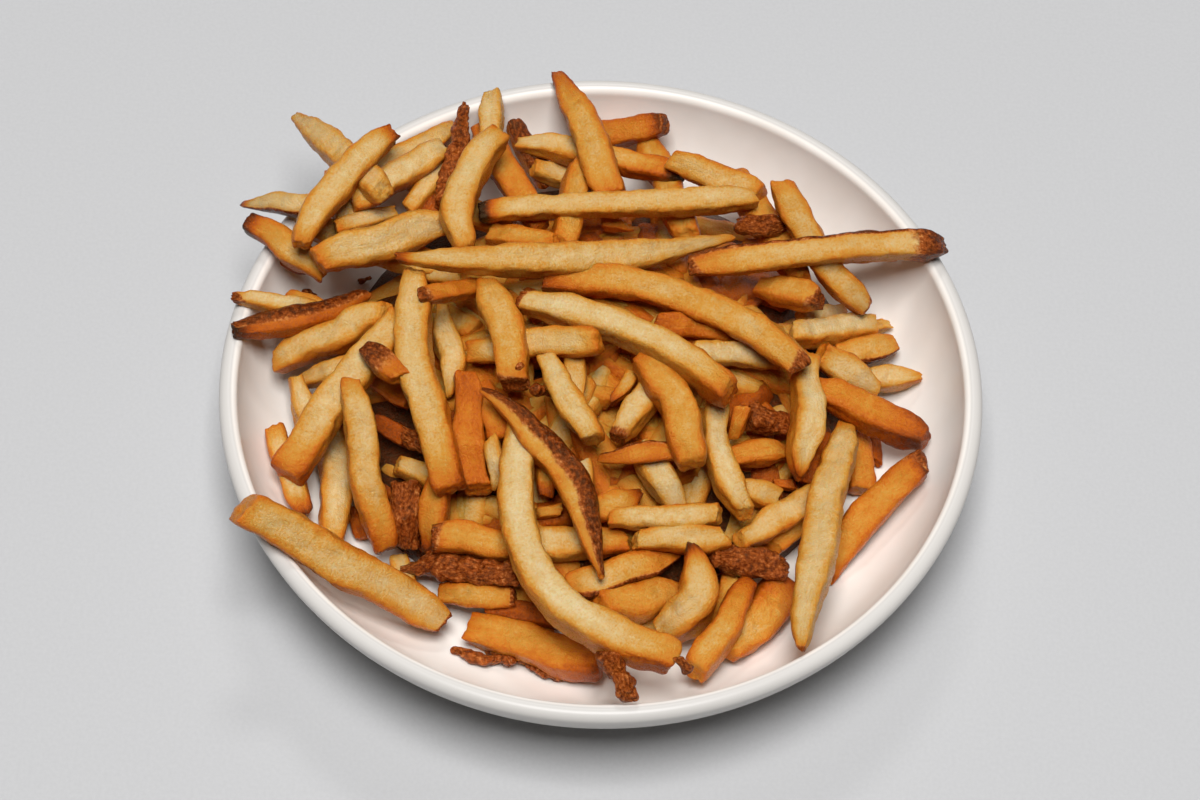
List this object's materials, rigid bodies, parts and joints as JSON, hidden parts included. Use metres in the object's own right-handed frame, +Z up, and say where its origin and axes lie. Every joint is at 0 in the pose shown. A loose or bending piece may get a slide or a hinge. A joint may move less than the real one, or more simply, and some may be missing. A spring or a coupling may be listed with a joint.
{
  "type": "french fries portion in a bowl",
  "caption": "Heap of skin-on french fries in a shallow round bowl of white glazed porcelain, built as one portion with the bowl that holds it.",
  "frame": {"origin": "on the table, under the middle of the bowl", "axes": "+Z up; +Y away from the diner; +X to the diner's right"},
  "size_m": [0.2207, 0.2204, 0.0642],
  "materials": {
    "glaze": "glossy white glaze over porcelain",
    "friedPotato": "golden fried potato, browned at edges and tips, thin film of oil"
  },
  "bodies": {
    "root": {"bowl": "glaze", "fries": "friedPotato"}
  },
  "joints": []
}
